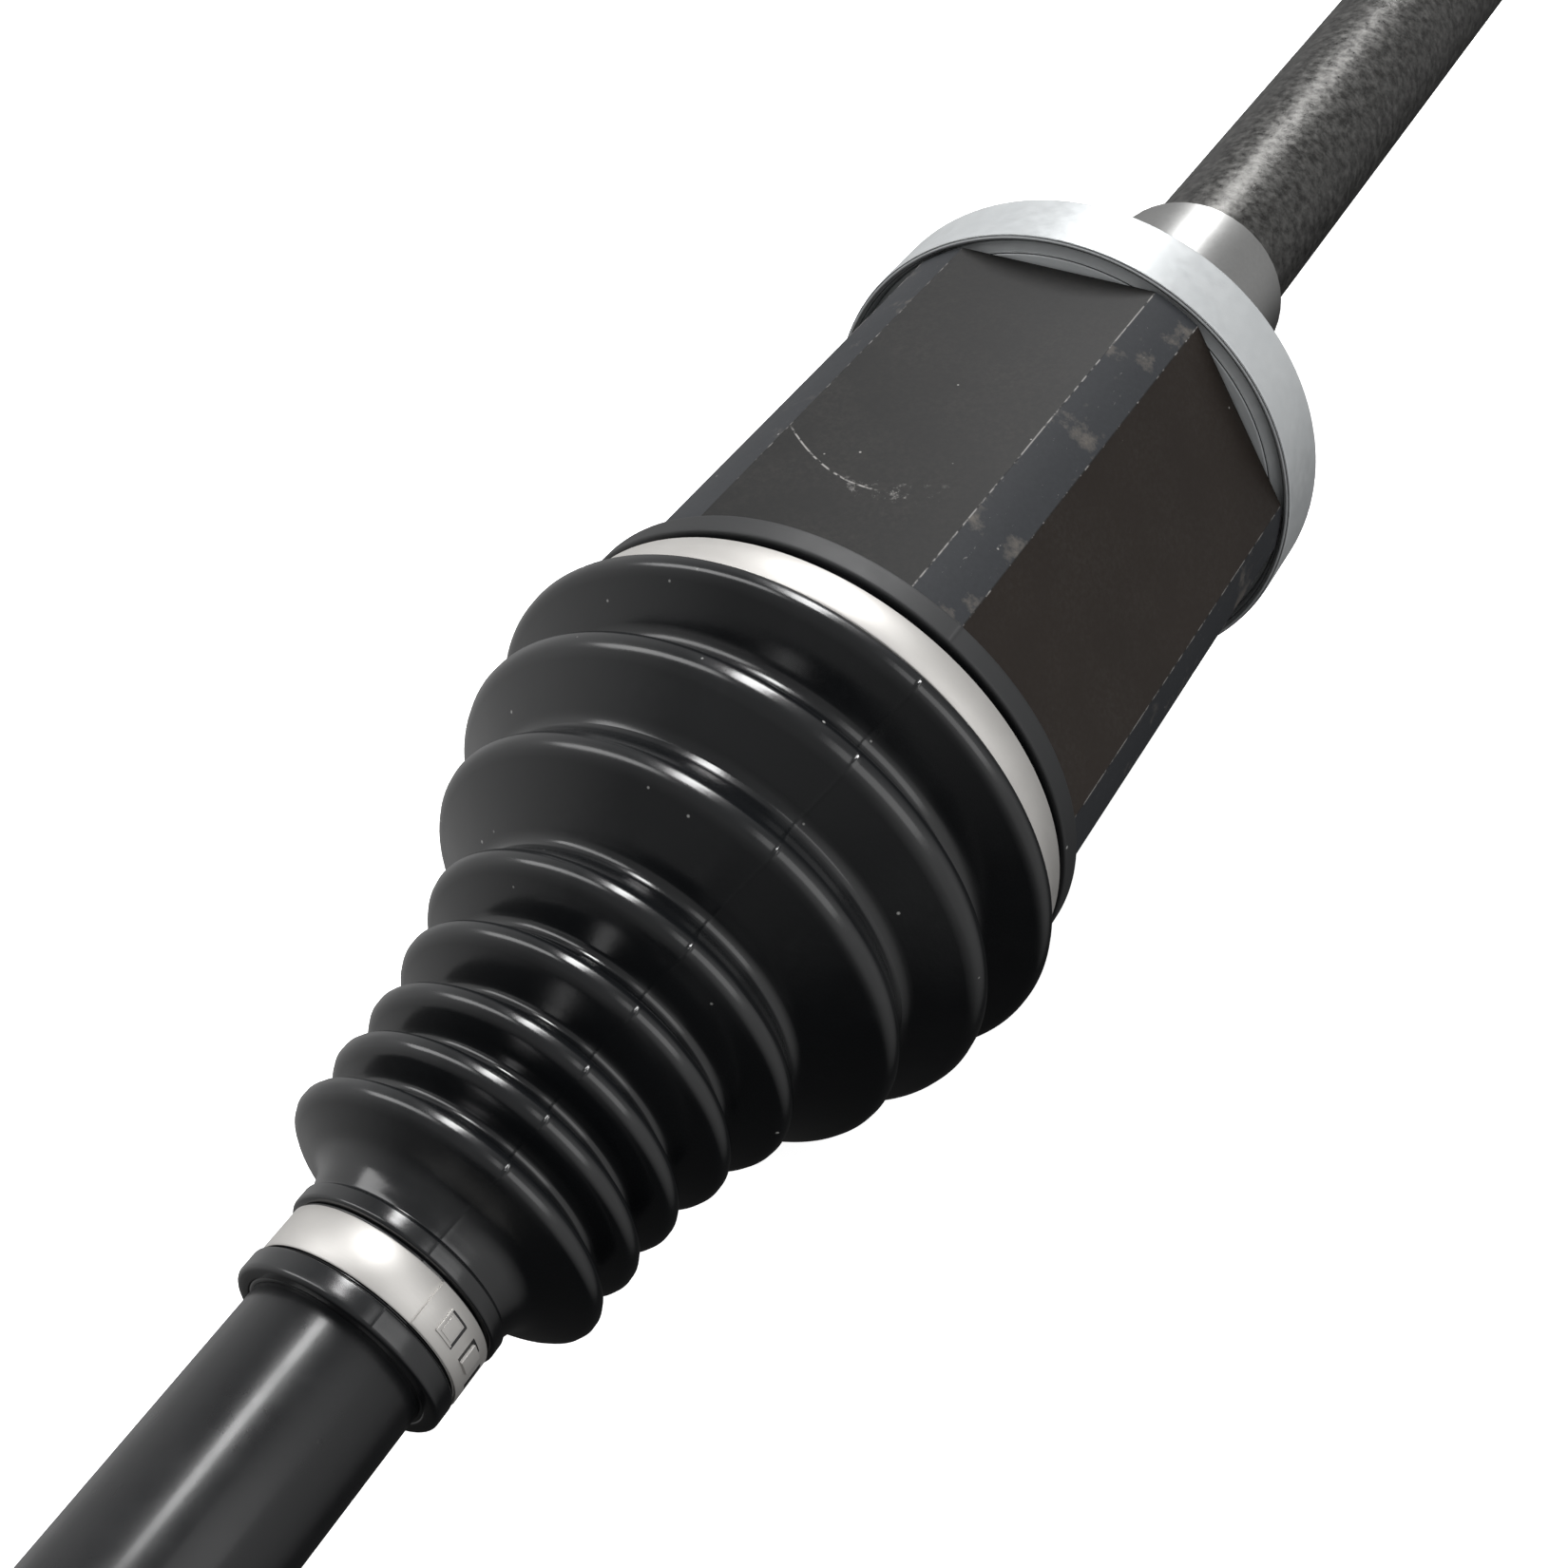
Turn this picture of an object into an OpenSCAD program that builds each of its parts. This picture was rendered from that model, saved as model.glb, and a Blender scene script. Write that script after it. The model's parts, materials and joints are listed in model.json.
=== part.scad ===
// Automotive half shaft with a plunging inner joint and a fixed outer joint.
// The shaft line is the X axis. X = 0 is the shoulder that the support bearing seats against,
// +X runs outboard to the wheel hub and -X inboard along the stub shaft.

/* [Inner housing] */
// Diameter over the rounded corners of the hexagonal housing
housing_corner_d = 89.8; // [89:0.1:90]
// Width across the six flats of the housing
housing_flat_w = 82; // [81:0.1:83]
// Diameter of the turned seat for the boot, at the mouth of the housing
boot_seat_d = 86.4; // [86:0.1:86.8]
// Distance from the bearing shoulder to the centre of the large boot clamp
clamp_x = 113; // [112:0.5:116]
// Radius of the bore that guides the inner cage
housing_bore_r = 33.3; // [33.3:0.01:33.35]

/* [Stub shaft] */
// Diameter of the journal for the support bearing
journal_d = 39; // [36:0.5:40]
// Length of the bearing journal
journal_l = 55; // [45:1:60]
// Diameter of the plain stub shaft
stub_d = 32; // [30:0.5:33]
// Length from the bearing shoulder to the inboard tip
stub_l = 285; // [260:1:320]
// Length of the inboard spline
stub_spline_l = 40; // [30:1:50]

/* [Dust ring] */
// Outside diameter of the dust ring
ring_d = 92.8; // [92.4:0.1:94]
// Width of the dust ring
ring_w = 15; // [13:0.5:16]

/* [Drive shaft] */
// Diameter of the exposed bar
bar_d = 26; // [25:0.1:26]
// Diameter of the bar where it necks down beside each joint
neck_d = 23; // [21:0.5:23]
// Distance between the two joint centres
centre_distance = 450; // [430:1:520]

/* [Inner joint] */
// Distance that the resting joint centre sits inboard of the large clamp
joint_depth = 38; // [36:0.5:40]
// Diameter of each ball
ball_d = 17.46; // [17.4:0.01:17.5]
// Radius of the circle through the inner ball centres
inner_ball_r = 27.5; // [27.4:0.05:27.5]

/* [Outer joint] */
// Radius of the circle through the outer ball centres
outer_ball_r = 29; // [28.9:0.05:29]
// Outside diameter of the bell
bell_d = 86; // [85:0.5:87]
// Diameter of the pilot that centres the wheel hub
pilot_d = 34; // [32:0.5:36]
// Outside diameter of the axle thread
thread_d = 22; // [20:0.5:24]
// Length of the outboard spline
hub_spline_l = 40; // [34:1:46]

/* [Boots] */
// Wall thickness of the rubber boots
boot_wall = 1.8; // [1.6:0.1:1.9]
// Radius of the shoulder of the inner boot, its widest place
boot_shoulder_r = 48.5; // [48:0.1:49]

/* [Hidden] */
$fn = 96;
BALLS = 6;
PITCH = 360 / BALLS;
ball_r = ball_d / 2;
gap = 0.3;                 // between a boot and the pieces of other bodies
run = 0.1;                 // running clearance of spheres and cages
eps = 0.01;

inner_x = clamp_x - joint_depth;        // centre of the inner joint at rest
outer_x = inner_x + centre_distance;    // centre of the outer joint
corner_r = housing_corner_d / 2;
seat_r = boot_seat_d / 2;
mouth_x = clamp_x + 6;                  // open end of the housing
cavity_x = 22;                          // floor of the housing
spigot_r = 30;                          // round end of the housing that carries the dust ring
hex_x = ring_w + 0.3;                   // inboard end of the hexagonal part
lip_x = clamp_x - 6;                    // where the hexagon ends, under the lip of the boot

inner_track_r = ball_r + 0.25;
inner_cage_r = housing_bore_r - run;
inner_cage_in_r = 28.5;
inner_race_r = inner_cage_in_r - run;
inner_cage_half = 14;
inner_race_half = 12;

outer_track_r = ball_r + 0.95;
outer_bore_r = 34.6;
outer_cage_r = outer_bore_r - run;
outer_cage_in_r = 29.8;
outer_race_r = outer_cage_in_r - run;
outer_cage_half = 14.5;
outer_race_half = 12;
bell_mouth = -15;                       // from the outer joint centre, along X
bell_floor = 29.5;
hub_face = 46;
pilot_l = 9;
thread_l = 22;
thread_pitch = 1.5;

spline_r = 12.2;                        // shaft splines, over the teeth
spline_root_r = 11.3;
spline_teeth = 26;
stop_r = 13.4;                          // shoulders of the shaft that the races are pushed against
snap_in_r = 10.55;                      // rings that hold the races on the shaft, and their grooves
snap_out_r = 13.2;
snap_w = 1.6;
snap_play = 0.1;
wire_r = 1.0;                           // round wire of the other two rings
retaining_x = mouth_x - 6;              // wire ring at the mouth of the housing
retaining_r = housing_bore_r + 1;

stub_r = stub_d / 2;
stub_spline_r = stub_r - 0.6;
stub_teeth = 27;
tip_l = 9;                              // plain tip past the stub spline
tip_r = stub_r - 2.2;
tip_clip_x = -stub_l + 5;

band_t = 0.4;                           // thickness of the steel bands
inner_seat_r = 45.35;                   // outside of the rubber under each large band
outer_seat_r = 45;
inner_band_r = 46.1;                    // outside of each band
outer_band_r = 45.8;
inner_band_small_r = 15.4;
outer_band_small_r = 16;
inner_small_x = clamp_x + 104.9;        // centres of the small bands
outer_small_x = outer_x - 88.5;

// Inner boot outline: [distance outboard of the large clamp, radius] at each crest and valley
inner_folds = [
    [7.2, boot_shoulder_r], [15.2, 40.5], [22.2, 46.1], [30.6, 36.8], [38, 39.7], [46, 28.2],
    [52.6, 30.9], [57.6, 23.6], [62.8, 27.6], [68, 20.6], [72.8, 25.6], [77, 20.2], [81.1, 25.35],
    [85.2, 20.2], [89.3, 24.9]
];
// Outer boot outline: [distance inboard of the outer joint centre, radius]
outer_folds = [
    [21, 45.8], [26.5, 39], [32, 44.2], [37.5, 36.2], [43, 40.6], [48.5, 30.2], [54, 35],
    [59.5, 25], [65, 29.6], [70, 21], [75, 25.2]
];

// ---- shared shapes -------------------------------------------------------------------------

// A turned solid from [radius, x] points
module turned(points) rotate([0, 90, 0]) rotate_extrude() polygon(points);

// A solid cylinder between two places on the X axis
module rod(r, x0, x1) translate([x0, 0, 0]) rotate([0, 90, 0]) cylinder(r = r, h = x1 - x0);

// A hollow cylinder
module sleeve(r_out, r_in, x0, x1) turned([[r_in, x0], [r_out, x0], [r_out, x1], [r_in, x1]]);

// A round-section ring around the X axis
module wire_ring(r, wire_r, x) turned_at(x) translate([r, 0]) circle(r = wire_r, $fn = 24);
module turned_at(x) translate([x, 0, 0]) rotate([0, 90, 0]) rotate_extrude() children();

// Places a child at ball i, which is counted from +Y towards +Z
module at_ball(i, x, r) translate([x, 0, 0]) rotate([PITCH * i, 0, 0]) translate([0, r, 0]) children();

// Curved grooves in which the balls roll, each an arc from an angle off the shaft line; a full
// ring serves two opposite balls
module tracks(x, r, groove_r, from, sweep)
    for (i = [0 : (sweep == 360 ? BALLS / 2 : BALLS) - 1])
        translate([x, 0, 0]) rotate([PITCH * i, 0, 0]) rotate([0, 0, from])
            rotate_extrude(angle = sweep) translate([r, 0]) circle(r = groove_r, $fn = 64);

// Cross-section of a straight-sided spline
module spline_shape(r, root_r, teeth)
    polygon([for (i = [0 : teeth - 1]) let (step = 360 / teeth)
        for (p = [[root_r, -0.32], [r, -0.17], [r, 0.17], [root_r, 0.32]])
            p[0] * [cos(step * (i + p[1])), sin(step * (i + p[1]))]]);

module spline(r, root_r, teeth, x0, x1)
    translate([x0, 0, 0]) rotate([0, 90, 0]) linear_extrude(x1 - x0) spline_shape(r, root_r, teeth);

// Window for one ball: ball-wide along X and longer around the cage
module cage_window(length) {
    for (s = [-1, 1]) translate([0, 0, s * length / 2]) rotate([-90, 0, 0])
        cylinder(r = ball_r + 0.02, h = 20, center = true, $fn = 48);
    cube([ball_d + 0.04, 20, length], center = true);
}

module cage(x, r_out, r_in, half, ball_circle, window)
    difference() {
        translate([x, 0, 0]) rotate([0, 90, 0]) rotate_extrude() intersection() {
            difference() {
                circle(r = r_out);
                circle(r = r_in);
            }
            translate([0, -half]) square([r_out, 2 * half]);
        }
        for (i = [0 : BALLS - 1]) at_ball(i, x, ball_circle) cage_window(window);
    }

module ball(i, x, r) at_ball(i - 1, x, r) sphere(r = ball_r, $fn = 48);

module star_race(x, r, half, ball_circle, groove_r)
    difference() {
        translate([x, 0, 0]) rotate([0, 90, 0]) rotate_extrude() intersection() {
            circle(r = r);
            translate([0, -half]) square([r, 2 * half]);
        }
        tracks(x, ball_circle, groove_r, 45, 90);
        spline(spline_r + 0.05, spline_root_r + 0.05, spline_teeth, x - half - 1, x + half + 1);
    }

// Snap ring with an opening, and the groove in the shaft that holds it
module snap_ring(x)
    difference() {
        sleeve(snap_out_r, snap_in_r, x, x + snap_w);
        rotate([60, 0, 0]) translate([x - 1, 0, -1.5]) cube([snap_w + 2, snap_out_r + 2, 3]);
    }
module snap_groove(x) sleeve(stop_r + 1, snap_in_r - 0.05, x, x + snap_w + 0.18);

// Smooth wave through crests and valleys, moved inwards by a wall
function fold_curve(f, wall, sides = 5) = concat(
    [for (i = [0 : len(f) - 2]) for (k = [0 : sides - 1])
        let (u = k / sides, w = (1 - cos(180 * u)) / 2)
        [f[i][0] + (f[i + 1][0] - f[i][0]) * u, f[i][1] + (f[i + 1][1] - f[i][1]) * w - wall]],
    [[f[len(f) - 1][0], f[len(f) - 1][1] - wall]]);

// Turns [distance, radius] into [radius, x], with the distance counted from x0 along dir
function placed(points, x0, dir) = [for (p = points) [p[1], x0 + dir * p[0]]];
function reversed(v) = [for (i = [len(v) - 1 : -1 : 0]) v[i]];

// Clamp: a band and the raised tab that closes it
module band_clamp(r, x, width, turn) {
    tab_w = width * 0.64;
    tab_l = 8;
    sleeve(r, r - band_t, x - width / 2, x + width / 2);
    rotate([turn, 0, 0]) translate([x - tab_w / 2, r - band_t / 2, -tab_l / 2])
        cube([tab_w, band_t * 1.5, tab_l]);
}

// ---- inner joint -----------------------------------------------------------------------------

module housing_outside() {
    intersection() {
        rod(corner_r, hex_x, lip_x);
        translate([hex_x, 0, 0]) rotate([0, 90, 0]) rotate([0, 0, 30])
            cylinder(r = housing_flat_w / 2 / cos(30), h = lip_x - hex_x, $fn = 6);
    }
    turned([
        [0, 0], [spigot_r - 1, 0], [spigot_r, 1], [spigot_r, hex_x], [38, hex_x], [38, lip_x - 1],
        [seat_r, lip_x - 1], [seat_r, mouth_x - 1], [seat_r - 1, mouth_x], [0, mouth_x]
    ]);
}

module housing_cavity() {
    turned([
        [0, cavity_x], [housing_bore_r - 3, cavity_x], [housing_bore_r, cavity_x + 3],
        [housing_bore_r, mouth_x - 4], [housing_bore_r + 3.5, mouth_x + eps],
        [housing_bore_r + 3.5, mouth_x + 1], [0, mouth_x + 1]
    ]);
    for (i = [0 : BALLS - 1]) rotate([PITCH * i, 0, 0]) translate([0, inner_ball_r, 0])
        rod(inner_track_r, cavity_x + 4, mouth_x + 1);
    wire_ring(retaining_r, wire_r + 0.05, retaining_x);
}

module stub() {
    journal_r = journal_d / 2;
    spline_x = -stub_l + tip_l;
    turned([
        [0, eps], [journal_r + 2, eps], [journal_r, -0.01], [journal_r, -journal_l + 1.5],
        [journal_r - 1.5, -journal_l], [stub_r + 1.5, -journal_l], [stub_r, -journal_l - 1.5],
        [stub_r, spline_x + stub_spline_l + 2], [stub_r - 1.6, spline_x + stub_spline_l],
        [0, spline_x + stub_spline_l]
    ]);
    spline(stub_spline_r, stub_spline_r - 1.4, stub_teeth, spline_x, spline_x + stub_spline_l + 1);
    difference() {
        turned([
            [0, spline_x + eps], [tip_r, spline_x + eps], [tip_r, -stub_l + 2], [tip_r - 2, -stub_l],
            [0, -stub_l]
        ]);
        wire_ring(tip_r, wire_r + 0.05, tip_clip_x);
    }
}

module inner_housing() color("dimgray")
    difference() {
        union() { housing_outside(); stub(); }
        housing_cavity();
    }

// A pressed ring whose outboard face steps down towards the spigot
module dust_ring() color("gainsboro") {
    r = ring_d / 2;
    turned([
        [spigot_r + 0.02, 0.4], [r - 1, 0.4], [r, 1.4], [r, ring_w - 0.5], [r - 0.4, ring_w],
        [r - 0.9, ring_w], [r - 1.1, ring_w - 0.7], [r - 1.6, ring_w - 0.7], [r - 1.8, ring_w - 2.4],
        [r - 2.3, ring_w - 2.4], [r - 4, ring_w - 1.3], [r - 4.1, ring_w - 0.9],
        [r - 6, ring_w - 0.2], [spigot_r + 0.02, ring_w - 0.2]
    ]);
}

module inner_retaining_ring() color("silver")
    difference() {
        wire_ring(retaining_r, wire_r, retaining_x);
        rotate([30, 0, 0]) translate([retaining_x - 2, 0, -2]) cube([4, 50, 4]);
    }

module stub_circlip() color("silver")
    difference() {
        wire_ring(tip_r, wire_r, tip_clip_x);
        translate([tip_clip_x - 3, 0, -1.5]) cube([6, 30, 3]);
    }

module inner_clamp_large() color("lightgray") band_clamp(inner_band_r, clamp_x + 0.4, 6.2, 250);

module inner_boot() color([0.09, 0.09, 0.1]) {
    outside = concat(
        [[-8.4, 45.6], [-7.8, 46.3], [-4, 46.3], [-3.4, inner_seat_r], [4.2, inner_seat_r]],
        fold_curve(inner_folds, 0),
        [[93, 20.5], [97.6, 15.8], [99.4, 16.1], [100.8, 16.1], [101.2, 14.85], [108.6, 14.85],
         [109, 15.7], [112.2, 15.7]]);
    inside = concat(
        [[-8.4, corner_r + gap], [-5.6, corner_r + gap], [-5.6, seat_r + gap], [6.2, seat_r + gap],
         [6.6, boot_shoulder_r - boot_wall - 1]],
        fold_curve([for (i = [1 : len(inner_folds) - 1]) inner_folds[i]], boot_wall),
        [[97.4, bar_d / 2 + gap], [112.2, bar_d / 2 + gap]]);
    turned(placed(concat(outside, reversed(inside)), clamp_x, 1));
}

module inner_cage() color("slategray")
    cage(inner_x, inner_cage_r, inner_cage_in_r, inner_cage_half, inner_ball_r, 2.2);

module inner_ball(i) color("white") ball(i, inner_x, inner_ball_r);

module inner_race() color("gray")
    star_race(inner_x, inner_race_r, inner_race_half, inner_ball_r, inner_track_r);

module inner_race_clip() color("silver")
    snap_ring(inner_x - inner_race_half - snap_play - snap_w);

// ---- shaft -----------------------------------------------------------------------------------

module drive_shaft() color([0.08, 0.08, 0.09]) {
    neck = neck_d / 2;
    bar = bar_d / 2;
    in_end = inner_x - inner_race_half - 4.5;
    in_stop = inner_x + inner_race_half + 0.02;
    out_end = outer_x + outer_race_half + 4.5;
    out_stop = outer_x - outer_race_half - 0.02;
    difference() {
        union() {
            turned([
                [0, in_stop], [stop_r, in_stop], [stop_r, in_stop + 2], [neck, in_stop + 5],
                [neck, clamp_x + 88], [bar, clamp_x + 93], [bar, outer_x - 84], [neck, outer_x - 79],
                [neck, out_stop - 5], [stop_r, out_stop - 2], [stop_r, out_stop], [0, out_stop]
            ]);
            spline(spline_r, spline_root_r, spline_teeth, in_end, in_stop + eps);
            spline(spline_r, spline_root_r, spline_teeth, out_stop - eps, out_end);
        }
        snap_groove(inner_x - inner_race_half - 1.8);
        snap_groove(outer_x + outer_race_half + 0.02);
    }
}

module inner_clamp_small() color("lightgray") band_clamp(inner_band_small_r, inner_small_x, 6.6, -25);

// ---- outer joint -----------------------------------------------------------------------------

module outer_clamp_small() color("lightgray") band_clamp(outer_band_small_r, outer_small_x, 7, 120);

module outer_boot() color([0.09, 0.09, 0.1]) {
    seat = bell_d / 2 + gap;
    outside = concat(
        [[3, 44.6], [3, 46], [6, 46], [6.4, outer_seat_r], [14.6, outer_seat_r], [15, 46], [17.5, 46]],
        fold_curve(outer_folds, 0),
        [[79, 20], [83, 16.6], [84.4, 16.6], [84.8, 15.5], [92.2, 15.5], [92.6, 16.4], [95, 16.4]]);
    inside = concat(
        [[3, seat], [-bell_mouth + 1, seat], [-bell_mouth + 1.2, 43.6], [20, 43.6]],
        fold_curve([for (i = [1 : len(outer_folds) - 1]) outer_folds[i]], boot_wall),
        [[81.5, bar_d / 2 + gap], [95, bar_d / 2 + gap]]);
    turned(placed(concat(outside, reversed(inside)), outer_x, -1));
}

module outer_inner_race() color("gray")
    star_race(outer_x, outer_race_r, outer_race_half, outer_ball_r, outer_track_r);

module outer_race_clip() color("silver")
    snap_ring(outer_x + outer_race_half + snap_play);

module outer_cage() color("slategray")
    cage(outer_x, outer_cage_r, outer_cage_in_r, outer_cage_half, outer_ball_r, 3);

module outer_ball(i) color("white") ball(i, outer_x, outer_ball_r);

module outer_clamp_large() color("lightgray") band_clamp(outer_band_r, outer_x - 10.5, 7.4, 200);

module bell_cavity()
    intersection() {
        union() {
            translate([outer_x, 0, 0]) sphere(r = outer_bore_r);
            tracks(outer_x, outer_ball_r, outer_track_r, 0, 360);
        }
        rod(bell_d, outer_x + bell_mouth - 10, outer_x + bell_floor);
    }

module outer_race() color("dimgray") {
    bell = bell_d / 2;
    pilot = pilot_d / 2;
    thread = thread_d / 2;
    pilot_end = hub_face + pilot_l;
    spline_end = pilot_end + hub_spline_l;
    turns = floor(thread_l / thread_pitch) - 1;
    threads = [for (i = [0 : turns - 1]) for (p = [[0, 0], [0.85, 0.75]])
        [thread - p[0], spline_end + 2 + thread_pitch * i + p[1]]];
    difference() {
        union() {
            turned(placed(concat(
                [[bell_mouth, 0], [bell_mouth, bell - 1], [bell_mouth + 1, bell], [14, bell],
                 [22, bell - 3], [33, 31], [38, 27.5], [hub_face - 1, 27], [hub_face, 26],
                 [hub_face, pilot], [pilot_end - 1, pilot], [pilot_end, pilot - 1],
                 [pilot_end, 0]]), outer_x, 1));
            spline(pilot - 1.6, pilot - 3.2, 30, outer_x + pilot_end - 1, outer_x + spline_end);
            turned(concat([[0, outer_x + spline_end - 1], [thread - 0.9, outer_x + spline_end - 1],
                [thread - 0.9, outer_x + spline_end + 1.6]],
                [for (p = threads) [p[0], outer_x + p[1]]],
                [[thread - 1.4, outer_x + spline_end + thread_l + 1],
                 [0, outer_x + spline_end + thread_l + 1]]));
        }
        bell_cavity();
        translate([outer_x, 0, 0]) turned([
            [0, bell_mouth - 1], [34.5, bell_mouth - 1], [34.5, bell_mouth],
            [30.4, bell_mouth + 4.5], [0, bell_mouth + 4.5]
        ]);
    }
}

// ---- the nodes -------------------------------------------------------------------------------

inner_housing();
dust_ring();
inner_retaining_ring();
stub_circlip();
inner_clamp_large();
inner_boot();
inner_cage();
for (i = [1 : BALLS]) inner_ball(i);
inner_race();
inner_race_clip();
drive_shaft();
inner_clamp_small();
outer_clamp_small();
outer_boot();
outer_inner_race();
outer_race_clip();
outer_cage();
for (i = [1 : BALLS]) outer_ball(i);
outer_clamp_large();
outer_race();
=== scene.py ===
"""Looks of the cv axle: boots, clamps, materials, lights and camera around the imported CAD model."""

import json
import math

import bpy
from mathutils import Matrix, Vector


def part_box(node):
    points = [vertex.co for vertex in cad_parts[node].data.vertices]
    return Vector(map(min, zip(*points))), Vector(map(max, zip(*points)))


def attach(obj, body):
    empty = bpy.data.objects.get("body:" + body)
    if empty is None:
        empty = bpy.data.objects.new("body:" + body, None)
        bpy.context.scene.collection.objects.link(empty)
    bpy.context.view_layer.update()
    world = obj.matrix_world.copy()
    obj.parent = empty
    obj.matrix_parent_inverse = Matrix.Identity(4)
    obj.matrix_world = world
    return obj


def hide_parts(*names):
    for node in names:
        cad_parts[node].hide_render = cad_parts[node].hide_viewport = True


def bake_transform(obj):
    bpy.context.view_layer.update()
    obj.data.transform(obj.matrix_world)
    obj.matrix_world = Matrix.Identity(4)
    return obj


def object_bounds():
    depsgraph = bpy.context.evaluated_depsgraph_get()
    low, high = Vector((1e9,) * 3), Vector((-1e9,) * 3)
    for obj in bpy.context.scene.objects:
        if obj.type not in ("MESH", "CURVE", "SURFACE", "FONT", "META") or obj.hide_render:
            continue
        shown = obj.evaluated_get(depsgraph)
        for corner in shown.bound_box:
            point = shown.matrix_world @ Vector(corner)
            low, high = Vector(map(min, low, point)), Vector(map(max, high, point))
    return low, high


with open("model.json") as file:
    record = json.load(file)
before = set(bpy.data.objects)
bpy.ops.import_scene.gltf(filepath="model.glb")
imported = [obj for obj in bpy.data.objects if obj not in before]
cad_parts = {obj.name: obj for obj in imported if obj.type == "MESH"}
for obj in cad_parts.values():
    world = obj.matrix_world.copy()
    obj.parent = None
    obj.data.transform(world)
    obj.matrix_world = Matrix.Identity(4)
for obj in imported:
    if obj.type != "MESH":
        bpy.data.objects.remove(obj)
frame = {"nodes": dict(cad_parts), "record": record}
cad_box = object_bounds()
nodes = frame["nodes"]
MM = 0.001

# Places along the shaft, from the frame, in millimetres
CLAMP_X = sum(c.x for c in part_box("inner_clamp_large")) / 2 / MM - 0.4
OUTER_X = sum(c.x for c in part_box("outer_ball_1")) / 2 / MM
CORNER_R = 44.95                  # inside of the boot's lip, over the corners of the housing
SEAT_R = 43.25                    # inside of the boot on the turned seat of the housing
BAR_R = 13.02
BELL_R = 43.05
BAND_R = 45.5                     # outside of the boot under the large clamp
SMALL_BAND_R = 14.9               # the same under the three other clamps
OUTER_BAND_R = 45.2
OUTER_SMALL_BAND_R = 15.5
BAND_GAP = 0.05                   # between a band and the rubber under it
BOOT_WALL = 1.8
JOURNAL = (-55.5, -0.2)           # ground bearing seat on the housing
STUB_END = (-56.3, -55.5)         # where the mottled stub begins
SIXTH = 60                        # degrees from one corner of the hexagon to the next
STRIP_HALF = 5.8                  # half the turn, in degrees, of the arc at a corner
BELL_BACK = (37.5, 38.5)          # from the outer joint's centre to where the bell turns bright
PARTING = math.radians(35.5)      # where the boots' mould line runs, from +Z towards +Y
SEGMENTS = 200
FLOOR_GLOW = 0.75
ROOM_R = 9.0                      # half the width of the floor and radius of the backdrop, in metres
WORLD_LOW, WORLD_HIGH, WORLD_SIDES = 0.03, 0.36, 0.55


# ---- mesh helpers ------------------------------------------------------------------------------

def make_object(name, verts, faces, sharp=35):
    """A smooth-shaded mesh object from millimetre points."""
    mesh = bpy.data.meshes.new(name)
    mesh.from_pydata([(x * MM, y * MM, z * MM) for x, y, z in verts], [], faces)
    mesh.validate()
    mesh.shade_smooth()
    mesh.set_sharp_from_angle(angle=math.radians(sharp))
    obj = bpy.data.objects.new(name, mesh)
    bpy.context.scene.collection.objects.link(obj)
    return obj


def ring_point(x, r, turn):
    """A point at radius r round the shaft line; turn is counted from +Z towards +Y."""
    return (x, r * math.sin(turn), r * math.cos(turn))


def turned(name, outline, turns, closed=True, lift=None, sharp=35):
    """Turns an outline of (x, r) points round the shaft line. lift(x, r, turn) raises the surface."""
    n, m = len(outline), len(turns)
    verts = []
    for x, r in outline:
        for t in turns:
            up = lift(x, r, t) if lift else 0.0
            verts.append(ring_point(x, r + up, t))
    faces = []
    for i in range(n if closed else n - 1):
        j = (i + 1) % n
        for k in range(m):
            l = (k + 1) % m
            faces.append((i * m + k, i * m + l, j * m + l, j * m + k))
    return make_object(name, verts, faces, sharp)


def even_turns(extra=()):
    """Angles for a full turn, with extra ones where fine detail needs them."""
    base = [2 * math.pi * k / SEGMENTS for k in range(SEGMENTS)]
    near = [e % (2 * math.pi) for e in extra]
    kept = [b for b in base if all(abs((b - e + math.pi) % (2 * math.pi) - math.pi) > 0.006 for e in near)]
    return sorted(kept + near)


def filleted(points, steps=5):
    """An open outline of (x, r, fillet radius) corners as points, each corner rounded by an arc."""
    out = []
    for i, (x, r, rho) in enumerate(points):
        if rho <= 0 or i in (0, len(points) - 1):
            out.append((x, r))
            continue
        p = Vector((x, r))
        a = Vector(points[i - 1][:2]) - p
        b = Vector(points[i + 1][:2]) - p
        half = a.angle(b) / 2
        reach = min(rho / math.tan(half), a.length * 0.48, b.length * 0.48)
        rho = reach * math.tan(half)
        centre = p + (a.normalized() + b.normalized()).normalized() * (rho / math.sin(half))
        start = p + a.normalized() * reach - centre
        end = p + b.normalized() * reach - centre
        sweep = start.angle_signed(end)
        for k in range(steps + 1):
            turn = -sweep * k / steps
            c, s = math.cos(turn), math.sin(turn)
            out.append((centre.x + start.x * c - start.y * s, centre.y + start.x * s + start.y * c))
    return out


def folds(points, rounding):
    """Corner points of a bellows whose crests and valleys, rounded as listed, reach the radii given."""
    corners = [list(p) for p in points]
    for _ in range(4):
        for i, (x, r) in enumerate(points):
            is_crest = i % 2 == 0
            rho = rounding[i]
            around = [corners[j] for j in (i - 1, i + 1) if 0 <= j < len(points)]
            half = sum(math.atan2(abs(q[0] - x), abs(q[1] - corners[i][1])) for q in around) / len(around)
            over = min(rho * (1 / math.sin(half) - 1), 2.5)
            corners[i][1] = r + over if is_crest else r - over
    return [(x, r, rho) for (x, r), rho in zip(corners, rounding)]


def resampled(outline, step):
    """The same outline with points no further apart than step."""
    out = []
    for (x0, r0), (x1, r1) in zip(outline, outline[1:]):
        n = max(1, math.ceil(math.hypot(x1 - x0, r1 - r0) / step))
        out += [(x0 + (x1 - x0) * k / n, r0 + (r1 - r0) * k / n) for k in range(n)]
    return out + [outline[-1]]


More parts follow.
